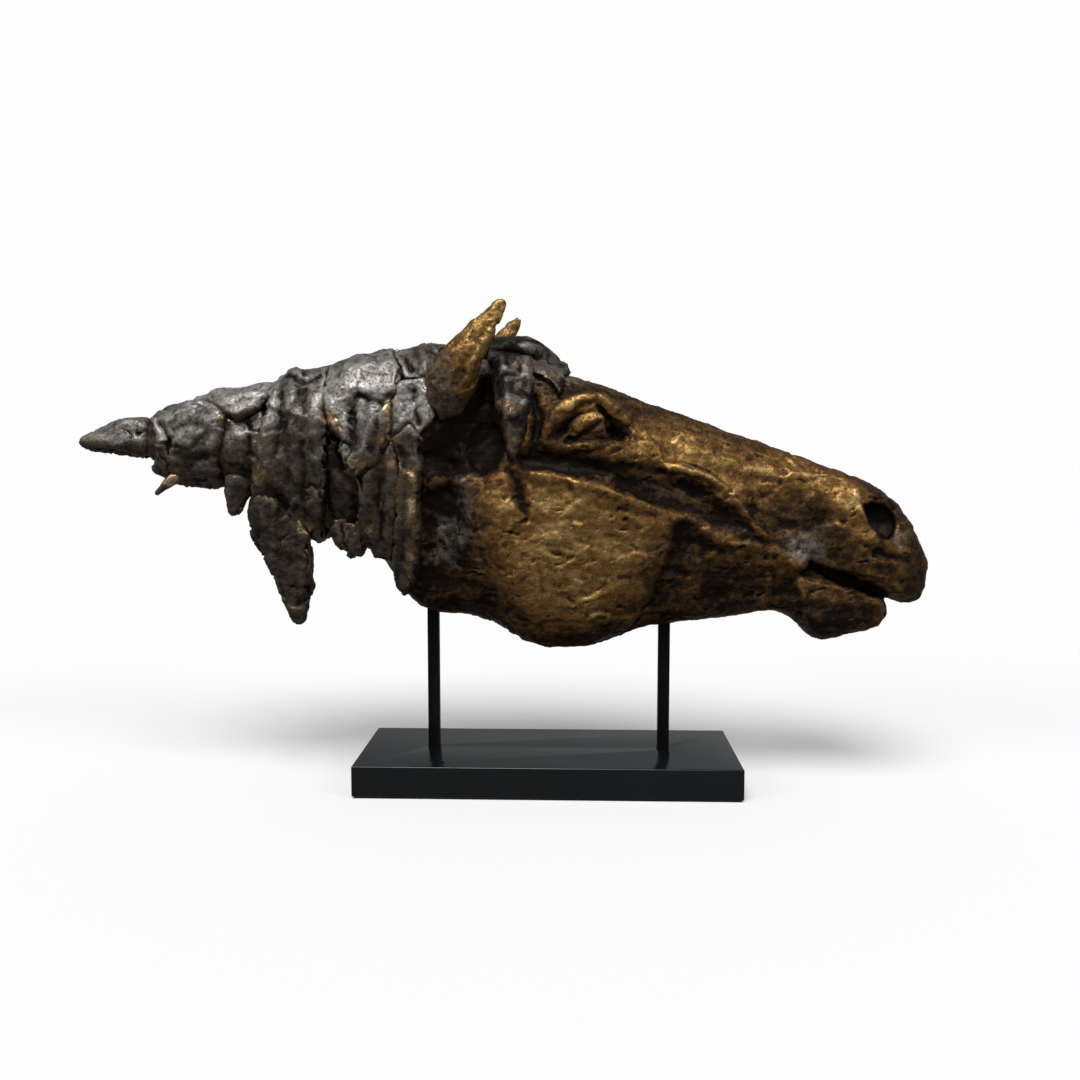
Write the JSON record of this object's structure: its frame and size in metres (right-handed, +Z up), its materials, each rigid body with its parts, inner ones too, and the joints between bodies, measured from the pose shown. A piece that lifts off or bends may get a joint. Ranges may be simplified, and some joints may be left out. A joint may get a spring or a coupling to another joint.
{
  "type": "bronze horse head statue",
  "caption": "Rough-modelled bronze horse head with a blown-back mane, lifting off square posts that stand on a black felt-based plinth.",
  "frame": {"origin": "middle of the felt pad's underside, on the surface that the statue stands on", "axes": "+X towards the horse's muzzle, along the plinth's length, +Z up, -Y the horse's right side"},
  "size_m": [0.8994, 0.1558, 0.5067],
  "materials": {
    "bronze_gold": "cast bronze, brown patina rubbed back to gold on the high points",
    "bronze_dark": "cast bronze, near-black brown patina with gold on torn edges",
    "black_lacquer": "black satin lacquer",
    "black_steel": "black satin paint",
    "zinc_fixings": "zinc plated",
    "felt": "black felt"
  },
  "bodies": {
    "stand": {"felt_pad": "felt", "plinth": "black_lacquer", "post_bolt_front": "zinc_fixings", "post_bolt_rear": "zinc_fixings", "post_front": "black_steel", "post_rear": "black_steel", "post_washer_front": "zinc_fixings", "post_washer_rear": "zinc_fixings"},
    "head": {"ear_left": "bronze_gold", "ear_right": "bronze_gold", "forelock_crown": "bronze_dark", "forelock_left": "bronze_dark", "forelock_right": "bronze_dark", "head_casting": "bronze_gold", "mane_dangling_lock_left": "bronze_dark", "mane_dangling_lock_right": "bronze_dark", "mane_hanging_lock_left": "bronze_dark", "mane_hanging_lock_right": "bronze_dark", "mane_left_broad": "bronze_dark", "mane_left_crest": "bronze_dark", "mane_left_flap": "bronze_dark", "mane_left_gusset": "bronze_dark", "mane_left_knot": "bronze_dark", "mane_left_lower": "bronze_dark", "mane_left_middle": "bronze_dark", "mane_left_notch": "bronze_dark", "mane_left_rear": "bronze_dark", "mane_left_strip": "bronze_dark", "mane_notch_lock_left": "bronze_dark", "mane_notch_lock_right": "bronze_dark", "mane_right_broad": "bronze_dark", "mane_right_crest": "bronze_dark", "mane_right_flap": "bronze_dark", "mane_right_gusset": "bronze_dark", "mane_right_knot": "bronze_dark", "mane_right_lower": "bronze_dark", "mane_right_middle": "bronze_dark", "mane_right_notch": "bronze_dark", "mane_right_rear": "bronze_dark", "mane_right_strip": "bronze_dark", "mane_spur_lock": "bronze_dark", "mane_tail_lock": "bronze_dark", "neck_casting": "bronze_dark", "post_socket_front": "black_steel", "post_socket_rear": "black_steel"}
  },
  "joints": [
    {"name": "head_lift", "type": "slide", "parent": "stand", "child": "head", "axis": [0, 0, 1], "range_m": [0, 0.12]}
  ]
}
